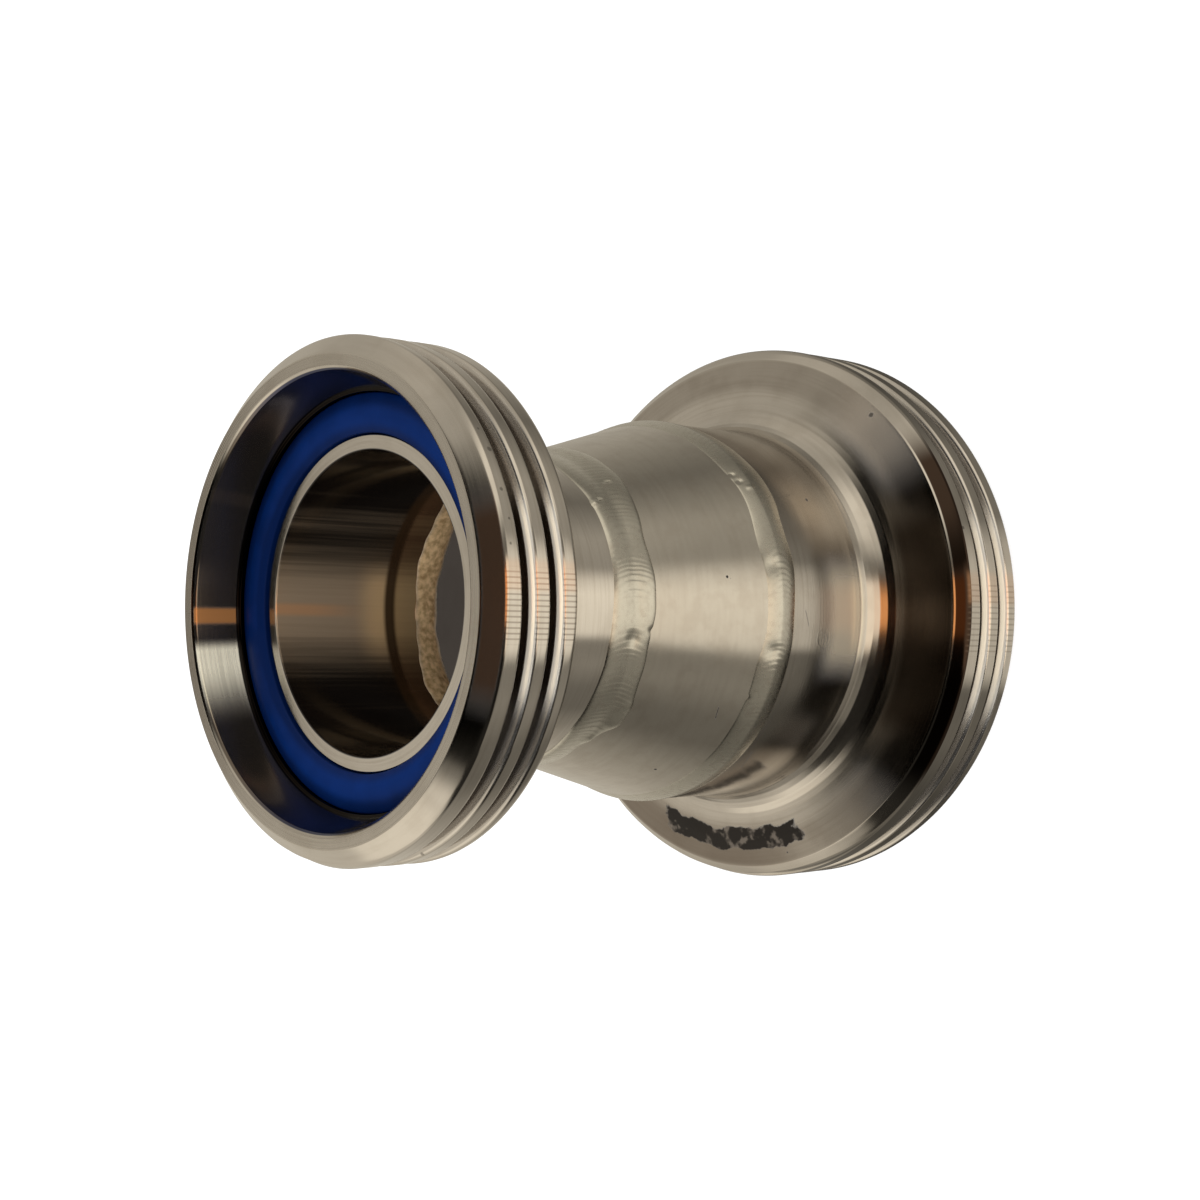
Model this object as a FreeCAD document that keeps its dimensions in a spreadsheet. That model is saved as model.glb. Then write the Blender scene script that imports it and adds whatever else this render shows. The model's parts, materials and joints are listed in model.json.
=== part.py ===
"""Reducing male dairy coupling, DN50 to DN40, butt welded from two round-threaded male parts.

Millimetres. +Z runs along the flow axis and the part stands on its large end face at Z = 0, with
the small end up. Each male part is drawn from its own end face, with its Z running into the pipe,
and is then placed: the large one as drawn, the small one turned over on top.
"""

import FreeCAD, Part
import os

import Sketcher
from FreeCAD import Vector

# Driving dimensions: alias, value in millimetres or degrees, meaning
SIZES = [
    ("large_bore", 50.0, "clear bore of the large male part"),
    ("large_seat_opening", 2.65, "liner seat, radially from the seal groove to the mouth, large end"),
    ("large_rim_wall", 4.25, "rim, radially from the mouth to the thread crests, large end"),
    ("large_length", 36.0, "end face to weld centre, large end"),
    ("large_weld_width", 5.4, "fused metal across the joint, outside, large end"),
    ("large_weld_height", 0.4, "weld cap, proud of the tube, large end"),
    ("large_thread_lead", 2.66, "start of the thread groove before the large end face"),
    ("small_bore", 38.0, "clear bore of the small male part"),
    ("small_seat_opening", 2.45, "liner seat, radially from the seal groove to the mouth, small end"),
    ("small_rim_wall", 3.95, "rim, radially from the mouth to the thread crests, small end"),
    ("small_length", 34.0, "end face to weld centre, small end"),
    ("small_weld_width", 7.0, "fused metal across the joint, outside, small end"),
    ("small_weld_height", 0.7, "weld cap, proud of the tube, small end"),
    ("small_thread_lead", 4.31, "start of the thread groove before the small end face"),
    ("tube_wall", 1.5, "wall of the welding ends and the reducer"),
    ("thread_pitch", 4.233, "one sixth of an inch"),
    ("thread_depth", 2.117, "crest to root"),
    ("thread_root_width", 1.55, "bottom of the thread groove"),
    ("thread_flank_angle", 15.0, "lean of each thread flank"),
    ("thread_overrun", 0.8, "reach of the thread cutter past the crests"),
    ("rim_width", 14.0, "threaded rim, end face to back edge"),
    ("nose_drop", 2.4, "radial size of the bevel before the thread"),
    ("nose_length", 2.0, "axial size of the bevel before the thread"),
    ("back_bevel", 2.4, "bevel behind the thread"),
    ("back_slope", 12.0, "lean of the rim's back face"),
    ("neck_fillet", 5.0, "round between the rim's back and the tube"),
    ("mouth_bevel", 0.5, "small bevel at the mouth"),
    ("seat_angle", 15.0, "half angle of the liner seat"),
    ("spigot_wall", 2.0, "wall of the spigot inside the seal"),
    ("spigot_recess", 7.2, "end face down to the spigot's end"),
    ("seal_recess", 6.2, "end face down to the front of the seal"),
    ("seal_width", 4.9, "seal, inside to outside"),
    ("seal_height", 5.0, "seal, front to back"),
    ("seal_crown", 1.3, "rise of the seal's rounded front"),
    ("seal_clearance", 0.1, "radial play of the seal in its groove"),
    ("reducer_length", 21.0, "weld centre to weld centre"),
    ("weld_root_width", 3.6, "fused metal across the joint, inside"),
    ("weld_root_height", 0.5, "weld root, proud of the bore"),
]

doc = FreeCAD.newDocument("reducing_coupling")
sheet = doc.addObject("Spreadsheet::Sheet", "sizes")
for row, (alias, value, meaning) in enumerate(SIZES, 1):
    sheet.set("A%d" % row, meaning)
    sheet.set("B%d" % row, str(value))
    sheet.setAlias("B%d" % row, alias)
doc.recompute()


def now(words):
    """The present value of an expression in the sheet's names."""
    return float(sheet.evalExpression(words))


def bore_radius(end):
    return "sizes.%s_bore / 2" % end


def tube_radius(end):
    return bore_radius(end) + " + sizes.tube_wall"


def spigot_radius(end):
    return bore_radius(end) + " + sizes.spigot_wall"


def seal_radius(end, side):
    """The seal's inner or outer radius."""
    inner = spigot_radius(end) + " + sizes.seal_clearance"
    return inner if side == "inner" else inner + " + sizes.seal_width"


def seal_wall_radius(end):
    return seal_radius(end, "outer") + " + sizes.seal_clearance"


def mouth_radius(end):
    return seal_wall_radius(end) + " + sizes.%s_seat_opening" % end


def crest_radius(end):
    """Outside of the thread: 39 and 32.5 mm, which are the round threads Rd 78 and Rd 65."""
    return mouth_radius(end) + " + sizes.%s_rim_wall" % end


def new_body(name):
    body = doc.addObject("PartDesign::Body", name)
    body.Label = name
    return body


def axial_sketch(body, name):
    """A sketch in a plane through the axis: its X is the radius and its Y runs along the axis."""
    sketch = body.newObject("Sketcher::SketchObject", name)
    plane = [item for item in body.Origin.OriginFeatures if item.Role == "XZ_Plane"][0]
    sketch.AttachmentSupport = (plane, [""])
    sketch.MapMode = "FlatFace"
    return sketch


def tie(sketch, kind, name, words, *where):
    """Adds a dimension to a sketch and binds it to an expression."""
    sketch.addConstraint(Sketcher.Constraint(kind, *where, now(words)))
    sketch.renameConstraint(sketch.ConstraintCount - 1, name)
    sketch.setExpression("Constraints." + name, words)


def closed_outline(sketch, points):
    """Joins named points, each a radius and a height in the sheet's names.

    A point with a fourth entry starts an arc: the entry is the arc's radius, and the fifth the
    place of the arc's middle, as a radius and a height.
    """
    places = [Vector(now(point[1]), now(point[2]), 0) for point in points]
    starts = []
    for edge, point in enumerate(points):
        start, end = places[edge], places[(edge + 1) % len(places)]
        if len(point) == 3:
            sketch.addGeometry(Part.LineSegment(start, end), False)
            starts.append((1, 2))
            continue
        middle = Vector(now(point[4][0]), now(point[4][1]), 0)
        sketch.addGeometry(Part.ArcOfCircle(start, middle, end), False)
        forward = sketch.getPoint(edge, 1).isEqual(start, 1e-6)
        starts.append((1, 2) if forward else (2, 1))
    for edge in range(len(points)):
        after = (edge + 1) % len(points)
        sketch.addConstraint(
            Sketcher.Constraint("Coincident", edge, starts[edge][1], after, starts[after][0])
        )
    for edge, (name, radius, height, *arc) in enumerate(points):
        tie(sketch, "DistanceX", name + "_radius", radius, -1, 1, edge, starts[edge][0])
        if height == "0":
            sketch.addConstraint(Sketcher.Constraint("PointOnObject", edge, starts[edge][0], -1))
        else:
            tie(sketch, "DistanceY", name + "_height", height, -1, 1, edge, starts[edge][0])
        if arc:
            tie(sketch, "Radius", name + "_arc", arc[0], edge)


def revolve(body, sketch, name):
    turned = body.newObject("PartDesign::Revolution", name)
    turned.Profile = sketch
    turned.ReferenceAxis = (sketch, ["V_Axis"])
    turned.Angle = 360.0
    doc.recompute()
    return turned


def round_circles(body, base, name, radius, circles):
    """Fillets the circular edges that lie at the given radii and heights."""
    places = [(now(around), now(height)) for around, height in circles]
    found = []
    for index, edge in enumerate(base.Shape.Edges, 1):
        curve = edge.Curve
        if not isinstance(curve, Part.Circle):
            continue
        for around, height in places:
            if abs(curve.Radius - around) < 1e-3 and abs(curve.Center.z - height) < 1e-3:
                found.append("Edge%d" % index)
    if len(found) != len(places):
        raise RuntimeError("%s found %d of %d edges" % (name, len(found), len(places)))
    fillet = body.newObject("PartDesign::Fillet", name)
    fillet.Base = (base, found)
    fillet.setExpression("Radius", radius)
    doc.recompute()
    return fillet


def cut_thread(body, end):
    """Cuts the right-handed thread as one helical groove that runs out of both bevels."""
    middle = "-sizes.%s_thread_lead" % end
    crest = crest_radius(end)
    root = "%s - sizes.thread_depth" % crest
    root_half = "sizes.thread_root_width / 2"
    open_radius = "%s + sizes.thread_overrun" % crest
    flank_lean = "(sizes.thread_depth + sizes.thread_overrun) * tan(sizes.thread_flank_angle)"
    open_half = "%s + %s" % (root_half, flank_lean)
    sketch = axial_sketch(body, end + "_thread_profile")
    closed_outline(
        sketch,
        [
            ("open_low", open_radius, "%s - (%s)" % (middle, open_half)),
            ("root_low", root, "%s - %s" % (middle, root_half)),
            ("root_high", root, "%s + %s" % (middle, root_half)),
            ("open_high", open_radius, "%s + %s" % (middle, open_half)),
        ],
    )
    whole = body.Shape.Volume
    groove = body.newObject("PartDesign::SubtractiveHelix", end + "_thread")
    groove.Profile = sketch
    groove.ReferenceAxis = (sketch, ["V_Axis"])
    groove.Mode = "pitch-height-angle"
    groove.LeftHanded = False
    groove.setExpression("Pitch", "sizes.thread_pitch")
    groove.setExpression(
        "Height", "sizes.%s_thread_lead + sizes.rim_width + sizes.thread_pitch / 2" % end
    )
    doc.recompute()
    if groove.Shape.Volume >= whole:
        raise RuntimeError("the %s thread cuts nothing" % end)


def male_part(end):
    """One threaded welding part: spigot and seal groove, liner seat, rim, neck and tube."""
    body = new_body(end + "_male_part")
    bore = bore_radius(end)
    tube = tube_radius(end)
    spigot = spigot_radius(end)
    seal_wall = seal_wall_radius(end)
    groove_floor = "sizes.seal_recess + sizes.seal_height"
    mouth = mouth_radius(end)
    seat_top = "%s - sizes.mouth_bevel" % mouth
    seat_foot = "%s - (sizes.seal_recess - sizes.mouth_bevel) * tan(sizes.seat_angle)" % seat_top
    crest = crest_radius(end)
    back = "%s - sizes.back_bevel" % crest
    neck = "sizes.rim_width + (%s - (%s)) * tan(sizes.back_slope)" % (back, tube)
    weld_outer = "sizes.%s_length - sizes.%s_weld_width / 2" % (end, end)
    weld_inner = "sizes.%s_length - sizes.weld_root_width / 2" % end
    sketch = axial_sketch(body, end + "_male_profile")
    closed_outline(
        sketch,
        [
            ("spigot_inner", bore, "sizes.spigot_recess"),
            ("spigot_outer", spigot, "sizes.spigot_recess"),
            ("groove_inner", spigot, groove_floor),
            ("groove_outer", seal_wall, groove_floor),
            ("ledge_inner", seal_wall, "sizes.seal_recess"),
            ("ledge_outer", seat_foot, "sizes.seal_recess"),
            ("seat_top", seat_top, "sizes.mouth_bevel"),
            ("mouth", mouth, "0"),
            ("nose", "%s - sizes.nose_drop" % crest, "0"),
            ("thread_front", crest, "sizes.nose_length"),
            ("thread_back", crest, "sizes.rim_width - sizes.back_bevel"),
            ("back_edge", back, "sizes.rim_width"),
            ("neck_corner", tube, neck),
            ("weld_outer", tube, weld_outer),
            ("weld_inner", bore, weld_inner),
        ],
    )
    turned = revolve(body, sketch, end + "_male_turning")
    round_circles(body, turned, end + "_neck_fillet", "sizes.neck_fillet", [(tube, neck)])
    cut_thread(body, end)
    return body


def seal_ring(end):
    """The rubber joint ring that lies in the groove round the spigot, with its crowned front out."""
    body = new_body(end + "_seal_ring")
    inner = seal_radius(end, "inner")
    outer = seal_radius(end, "outer")
    shoulder = "sizes.seal_recess + sizes.seal_crown"
    floor = "sizes.seal_recess + sizes.seal_height"
    half_width = "(%s - (%s)) / 2" % (outer, inner)
    crown_arc = "(%s) ^ 2 / (2 * sizes.seal_crown) + sizes.seal_crown / 2" % half_width
    top = ("(%s + %s) / 2" % (outer, inner), "sizes.seal_recess")
    sketch = axial_sketch(body, end + "_seal_profile")
    closed_outline(
        sketch,
        [
            ("crown_inner", inner, shoulder, crown_arc, top),
            ("crown_outer", outer, shoulder),
            ("floor_outer", outer, floor),
            ("floor_inner", inner, floor),
        ],
    )
    revolve(body, sketch, end + "_seal_turning")
    return body


def taper(height):
    """What the reducer's radii lose over a height."""
    return "(sizes.large_bore - sizes.small_bore) / (2 * sizes.reducer_length) * (%s)" % height


def reducer():
    """The conical reducer, drawn from the centre of the large weld: it tapers weld to weld."""
    body = new_body("reducer")
    bore = bore_radius("large")
    tube = tube_radius("large")
    foot_inner = "sizes.weld_root_width / 2"
    foot_outer = "sizes.large_weld_width / 2"
    head_outer = "sizes.reducer_length - sizes.small_weld_width / 2"
    head_inner = "sizes.reducer_length - sizes.weld_root_width / 2"
    sketch = axial_sketch(body, "reducer_profile")
    closed_outline(
        sketch,
        [
            ("foot_inner", "%s - %s" % (bore, taper(foot_inner)), foot_inner),
            ("foot_outer", "%s - %s" % (tube, taper(foot_outer)), foot_outer),
            ("head_outer", "%s - %s" % (tube, taper(head_outer)), head_outer),
            ("head_inner", "%s - %s" % (bore, taper(head_inner)), head_inner),
        ],
    )
    revolve(body, sketch, "reducer_turning")
    return body


def bulge(low, high, half_width, height, side):
    """An arc's radius and middle, for a weld face that stands proud of its chord by a height.

    low and high are the radii at its two edges. The arc swells outwards, or inwards with side "-".
    """
    rise = "((%s) - (%s)) / 2" % (high, low)
    half_chord = "sqrt((%s) ^ 2 + (%s) ^ 2)" % (half_width, rise)
    arc = "(%s) ^ 2 / (2 * %s) + %s / 2" % (half_chord, height, height)
    outwards = "%s%s / %s" % (side, height, half_chord)
    middle_radius = "(%s + %s) / 2 + (%s) * (%s)" % (low, high, outwards, half_width)
    middle_height = "-(%s) * (%s)" % (outwards, rise)
    return arc, (middle_radius, middle_height)


def weld(end):
    """A butt weld about its own centre plane: the fused zone narrows from the cap to the root."""
    body = new_body(end + "_weld")
    tube = tube_radius(end)
    bore = bore_radius(end)
    cap = "sizes.%s_weld_width / 2" % end
    root = "sizes.weld_root_width / 2"
    if end == "large":
        cap_low, cap_high = tube, "%s - %s" % (tube, taper(cap))
        root_low, root_high = bore, "%s - %s" % (bore, taper(root))
    else:
        cap_low, cap_high = "%s + %s" % (tube, taper(cap)), tube
        root_low, root_high = "%s + %s" % (bore, taper(root)), bore
    cap_bulge = bulge(cap_low, cap_high, cap, "sizes.%s_weld_height" % end, "")
    root_bulge = bulge(root_low, root_high, root, "sizes.weld_root_height", "-")
    sketch = axial_sketch(body, end + "_weld_profile")
    closed_outline(
        sketch,
        [
            ("cap_low", cap_low, "-" + cap, *cap_bulge),
            ("cap_high", cap_high, cap),
            ("root_high", root_high, root, *root_bulge),
            ("root_low", root_low, "-" + root),
        ],
    )
    revolve(body, sketch, end + "_weld_turning")
    return body


large_weld_at = "sizes.large_length"
small_weld_at = "sizes.large_length + sizes.reducer_length"
small_face_at = "sizes.large_length + sizes.reducer_length + sizes.small_length"

bodies = [
    male_part("large"),
    seal_ring("large"),
    weld("large"),
    reducer(),
    weld("small"),
    male_part("small"),
    seal_ring("small"),
]
heights = {
    "large_weld": large_weld_at,
    "reducer": large_weld_at,
    "small_weld": small_weld_at,
    "small_male_part": small_face_at,
    "small_seal_ring": small_face_at,
}
for body in bodies:
    if body.Name in ("small_male_part", "small_seal_ring"):
        body.setExpression("Placement.Rotation.Axis.x", "1")
        body.setExpression("Placement.Rotation.Axis.z", "0")
        body.setExpression("Placement.Rotation.Angle", "180")
    if body.Name in heights:
        body.setExpression("Placement.Base.z", heights[body.Name])
doc.recompute()

for item in doc.Objects:
    if "Invalid" in item.State or "Error" in item.State:
        raise RuntimeError("%s failed: %s" % (item.Name, item.State))
for body in bodies:
    if body.Shape.isNull() or not body.Shape.isValid():
        raise RuntimeError("%s has no valid shape" % body.Label)

os.makedirs("parts", exist_ok=True)
for body in bodies:
    body.Shape.exportStep("parts/%s.step" % body.Label)
    print(body.Label, len(body.Shape.Solids), round(body.Shape.Volume, 1), body.Shape.BoundBox)
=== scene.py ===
"""Reducing male dairy coupling: turned ends, welds, reducer and seal rings, with painted light and
shade in their finish.

Metres. The coupling stands on its large end face with the flow axis along +Z. The camera looks
down on it from -Y, rolled so that the flow axis lies across the picture with the small end left.
Round the axis, an angle of 0 is the camera side, -Y, and 90 degrees is +X, up in the picture.
"""

import json
import math
import random

import bmesh
import bpy
import numpy as np
from bpy.props import FloatProperty, FloatVectorProperty, PointerProperty
from mathutils import Matrix, Vector


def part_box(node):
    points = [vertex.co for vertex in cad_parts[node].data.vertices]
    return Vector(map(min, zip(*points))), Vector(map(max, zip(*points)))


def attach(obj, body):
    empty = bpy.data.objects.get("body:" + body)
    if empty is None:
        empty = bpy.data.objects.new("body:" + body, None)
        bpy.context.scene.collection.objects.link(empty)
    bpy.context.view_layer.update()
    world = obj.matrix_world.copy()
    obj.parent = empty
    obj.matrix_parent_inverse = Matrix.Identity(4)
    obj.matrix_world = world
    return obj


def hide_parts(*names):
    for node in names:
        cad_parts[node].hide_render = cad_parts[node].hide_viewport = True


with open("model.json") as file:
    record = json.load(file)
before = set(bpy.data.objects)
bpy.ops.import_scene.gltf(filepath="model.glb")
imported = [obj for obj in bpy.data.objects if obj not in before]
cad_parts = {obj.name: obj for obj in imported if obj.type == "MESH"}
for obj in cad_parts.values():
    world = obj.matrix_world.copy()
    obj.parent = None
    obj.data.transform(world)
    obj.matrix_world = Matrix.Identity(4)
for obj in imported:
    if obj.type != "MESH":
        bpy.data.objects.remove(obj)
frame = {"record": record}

bl_info = {
    "name": "Reducing Dairy Coupling",
    "version": (1, 0, 0),
    "blender": (4, 5, 0),
    "location": "View3D > Sidebar > Coupling",
    "description": "Builds a welded reducing coupling with threaded ends and seal rings",
    "category": "Add Mesh",
}

MM = 0.001
ENDS = ("small", "large")


# Sizes and colours that a user would change


def length(name, millimetres, description):
    """A length property, kept in metres."""
    return FloatProperty(
        name=name,
        description=description,
        default=millimetres * MM,
        min=0.0,
        unit="LENGTH",
        precision=5,
    )


def angle(name, degrees, description):
    """An angle property, kept in radians."""
    default = math.radians(degrees)
    return FloatProperty(name=name, description=description, default=default, subtype="ANGLE")


def share(name, value, description):
    """A property between 0 and 1."""
    return FloatProperty(
        name=name, description=description, default=value, min=0.0, max=1.0, subtype="FACTOR"
    )


def colour(name, value, description):
    """A linear colour property."""
    return FloatVectorProperty(
        name=name, description=description, default=value, min=0.0, max=1.0, subtype="COLOR"
    )


class CouplingSizes(bpy.types.PropertyGroup):
    """Sizes of the turned ends, the welds and the seals."""

    small_seat_opening: length("Small seat opening", 2.45, "Seal groove to mouth, radially")
    small_rim_wall: length("Small rim wall", 3.95, "Mouth to thread crest, radially")
    small_weld_width: length("Small weld width", 7.0, "Weld bead across the small joint")
    small_thread_lead: length("Small thread lead", 4.31, "Thread start before the small face")
    large_seat_opening: length("Large seat opening", 2.65, "Seal groove to mouth, radially")
    large_rim_wall: length("Large rim wall", 4.25, "Mouth to thread crest, radially")
    large_weld_width: length("Large weld width", 5.4, "Weld bead across the large joint")
    large_thread_lead: length("Large thread lead", 2.66, "Thread start before the large face")
    tube_wall: length("Tube wall", 1.5, "Wall of the welding ends and the reducer")
    rim_width: length("Rim width", 14.0, "Threaded rim, end face to back edge")
    nose_drop: length("Nose drop", 2.4, "Radial size of the bevel before the thread")
    nose_length: length("Nose length", 2.0, "Axial size of the bevel before the thread")
    back_bevel: length("Back bevel", 1.6, "Bevel behind the thread")
    back_slope: angle("Back slope", 12.0, "Lean of the rim's back face")
    neck_fillet: length("Neck fillet", 5.0, "Round between the rim's back and the tube")
    mouth_bevel: length("Mouth bevel", 0.5, "Small bevel at the mouth")
    seat_angle: angle("Seat angle", 15.0, "Half angle of the liner seat")
    spigot_wall: length("Spigot wall", 2.0, "Wall of the spigot inside the seal")
    spigot_recess: length("Spigot recess", 7.2, "End face down to the spigot's end")
    seal_recess: length("Seal recess", 6.2, "End face down to the front of the seal")
    seal_width: length("Seal width", 4.9, "Seal, inside to outside")
    seal_height: length("Seal height", 5.0, "Seal, front to back")
    seal_crown: length("Seal crown", 0.6, "Rise of the seal's rounded front")
    seal_play: length("Seal play", 0.1, "Radial play of the seal in its groove")
    thread_pitch: length("Thread pitch", 4.233, "Crest to crest, one sixth of an inch")
    thread_depth: length("Thread depth", 2.117, "Crest to root")
    thread_root_width: length("Thread root", 1.05, "Bottom of the thread groove")
    thread_flank: angle("Thread flank", 15.0, "Lean of each thread flank")
    weld_root: length("Weld root", 0.5, "Weld root, proud of the bore")
    weld_root_width: length("Weld root width", 4.7, "Weld root across the joint, inside")
    ripple_pitch: length("Ripple pitch", 0.75, "Crescent to crescent along a weld")
    ripple_height: length("Ripple height", 0.021, "Rise of each weld crescent")


class CouplingFinish(bpy.types.PropertyGroup):
    """Colours and roughness of the finishes."""

    turned_steel: colour("Turned steel", (0.60, 0.565, 0.52), "Lathe-turned stainless steel")
    worn_steel: colour("Worn steel", (0.46, 0.42, 0.37), "Duller streaks in the turned steel")
    # This black is the black of pits, nicks and the worn patch, and also painted shade in the gaps
    # beside the seals and between the painted reflections in the bores.
    soot_and_painted_shade: colour("Soot", (0.012, 0.009, 0.007), "Black of pits, gaps and the worn patch")
    # This brown is laid as painted dark reflection on the shoulders, the neck and the thread crests.
    painted_reflection_brown: colour("Film", (0.16, 0.125, 0.10), "Brown film on the shoulders and the neck")
    pressed_steel: colour("Pressed steel", (0.56, 0.53, 0.48), "Brushed reducer")
    weld_steel: colour("Weld steel", (0.58, 0.56, 0.50), "Unground weld bead")
    brown_tint: colour("Brown tint", (0.055, 0.03, 0.014), "Dark heat tint beside the welds")
    seal_blue: colour("Seal blue", (0.0003, 0.0145, 0.092), "Blue joint rubber")
    turned_roughness: share("Turned roughness", 0.13, "Roughness of the turned steel")
    pressed_roughness: share("Pressed roughness", 0.21, "Roughness of the reducer")
    brushing: share("Brushing", 0.3, "How far the lathe lines stretch a reflection")


class CouplingSettings(bpy.types.PropertyGroup):
    """All settings of the coupling."""

    sizes: PointerProperty(type=CouplingSizes)
    finish: PointerProperty(type=CouplingFinish)


# The frame's own sizes


def node_heights(node):
    """The lowest and highest place of a node along the flow axis."""
    low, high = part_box(node)
    return low[2], high[2]


def mount_radius(name):
    """The radius of one of the part's bores."""
    mount = next(item for item in frame["record"]["mounts"] if item["name"] == name)
    return mount["dims"]["r_mm"] * MM


class End:
    """Radii and depths of one threaded end, with depth 0 at its end face and inwards from there."""

    def __init__(self, name, sizes):
        self.name = name
        self.sizes = sizes
        self.turned_over = name == "small"
        self.face = node_heights("small_male_part")[1] if self.turned_over else 0.0
        self.cone_side = -1 if self.turned_over else 1
        self.weld_centre = sum(node_heights(name + "_weld")) / 2
        self.length = abs(self.face - self.weld_centre)
        self.weld_width = getattr(sizes, name + "_weld_width")
        self.thread_lead = getattr(sizes, name + "_thread_lead")
        self.bore = mount_radius(name + "_bore")
        self.tube = self.bore + sizes.tube_wall
        self.spigot = self.bore + sizes.spigot_wall
        self.seal_inner = self.spigot + sizes.seal_play
        self.seal_outer = self.seal_inner + sizes.seal_width
        self.seal_wall = self.seal_outer + sizes.seal_play
        self.mouth = self.seal_wall + getattr(sizes, name + "_seat_opening")
        self.crest = self.mouth + getattr(sizes, name + "_rim_wall")

    def placed(self, points):
        """Points turned over and lifted where this end is the upper one."""
        if not self.turned_over:
            return points
        return points * np.array((1.0, -1.0, -1.0)) + np.array((0.0, 0.0, self.face))


# Mesh tools

ROW_STEP = 0.9 * MM
ROW_BESIDE = 0.15 * MM
LONG_RUN = 0.5 * MM
ROUND_STEP = math.radians(11)
SAME_PLACE = 0.002 * MM


def rounded(corners):
    """Radius and height along an outline whose inner corners carry a round each.

    A corner is a radius, a height and the radius of its round. Straight runs get close rows beside
    their ends, so that the shading of a round stays out of the flat beside it.
    """
    places = [Vector(corner[:2]) for corner in corners]
    line = [places[0]]
    for index in range(1, len(corners) - 1):
        here = places[index]
        back = (places[index - 1] - here).normalized()
        ahead = (places[index + 1] - here).normalized()
        half = back.angle(ahead) / 2
        size = corners[index][2]
        if size == 0:
            line.append(here)
            continue
        centre = here + (back + ahead).normalized() * size / math.sin(half)
        start = here + back * size / math.tan(half) - centre
        turn = start.angle_signed(here + ahead * size / math.tan(half) - centre)
        count = max(4, round(abs(turn) / ROUND_STEP))
        for part in range(count + 1):
            line.append(centre + Matrix.Rotation(-turn * part / count, 2) @ start)
    line.append(places[-1])
    return with_rows(line)


def with_rows(line):
    """Adds rows to the longer runs of an outline."""
    rows = [line[0]]
    for start, end in zip(line, line[1:]):
        run = (end - start).length
        if run > LONG_RUN:
            beside = min(ROW_BESIDE, run / 4)
            count = max(1, math.ceil((run - 2 * beside) / ROW_STEP))
            stops = [beside + (run - 2 * beside) * part / count for part in range(count + 1)]
            rows += [start.lerp(end, stop / run) for stop in stops]
        rows.append(end)
    return np.array([tuple(row) for row in rows])


def circle_angles(columns):
    return np.arange(columns) * 2 * math.pi / columns


def spun(radii, heights, angles):
    """Points round the axis, row after row, from radii, heights and angles that fit one grid."""
    radii, heights, angles = np.broadcast_arrays(radii, heights, angles)
    points = np.stack((radii * np.cos(angles), radii * np.sin(angles), heights), axis=-1)
    return points.reshape(-1, 3)


def ring_faces(rows, columns, first=0, closed=False):
    """Quads of a grid that closes round its columns, and round its rows too where closed."""
    row, column = np.meshgrid(
        np.arange(rows if closed else rows - 1), np.arange(columns), indexing="ij"
    )
    above = (row + 1) % rows
    beside = (column + 1) % columns
    corners = (
        row * columns + column,
        row * columns + beside,
        above * columns + beside,
        above * columns + column,
    )
    return np.stack(corners, axis=-1).reshape(-1, 4) + first


def signed_volume(points, faces):
    """Six times the volume inside the faces, negative where they face inwards."""
    a, b, c, d = (points[faces[:, corner]] for corner in range(4))
    return float(np.sum(np.cross(a, b) * c) + np.sum(np.cross(a, c) * d))


def add_object(name, points, faces, material):
    """Adds a mesh of one material to the scene."""
    mesh = bpy.data.meshes.new(name)
    mesh.from_pydata(points, [], faces)
    mesh.materials.append(material)
    made = bpy.data.objects.new(name, mesh)
    bpy.context.scene.collection.objects.link(made)
    return made


def add_piece(name, points, faces, material):
    """Adds a smooth closed mesh that stands for the node of the same name."""
    if signed_volume(points, faces) < 0:
        faces = faces[:, ::-1]
    piece = add_object(name + "_turned", points.tolist(), faces.tolist(), material)
    merge_doubles(piece.data)
    piece.data.shade_smooth()
    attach(piece, "root")
    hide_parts(name)


def merge_doubles(mesh):
    """Joins points that lie on each other and drops the faces this empties."""
    work = bmesh.new()
    work.from_mesh(mesh)
    bmesh.ops.remove_doubles(work, verts=work.verts, dist=SAME_PLACE)
    work.to_mesh(mesh)
    work.free()


def soft_least(first, second, blend):
    """The lesser of two arrays, with the corner between them rounded."""
    near = np.maximum(blend - np.abs(first - second), 0.0) / blend
    return np.minimum(first, second) - near**2 * blend / 4


def smooth_step(value, start, end):
    """0 at start and 1 at end, with a soft run between them."""
    part = np.clip((value - start) / (end - start), 0.0, 1.0)
    return part * part * (3 - 2 * part)


# Shader expressions

# The core of a spot, a ring and a line, as a share of its size
SPOT_CORE = 0.6
RING_CORE = 0.92
LINE_CORE = 0.3
RING_SOFT = 0.1 * MM
LINE_END_SOFT = 0.3 * MM
# How much the radius counts beside the height in how far along an outline a point lies
OUTWARD_SHARE = 1.31


def sum_of(operation, reflected=False):
    """A method that adds a Math node, with its two values swapped in a reflected form."""

    def method(self, other):
        return self.maths(operation, *((other, self) if reflected else (self, other)))

    return method


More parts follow.
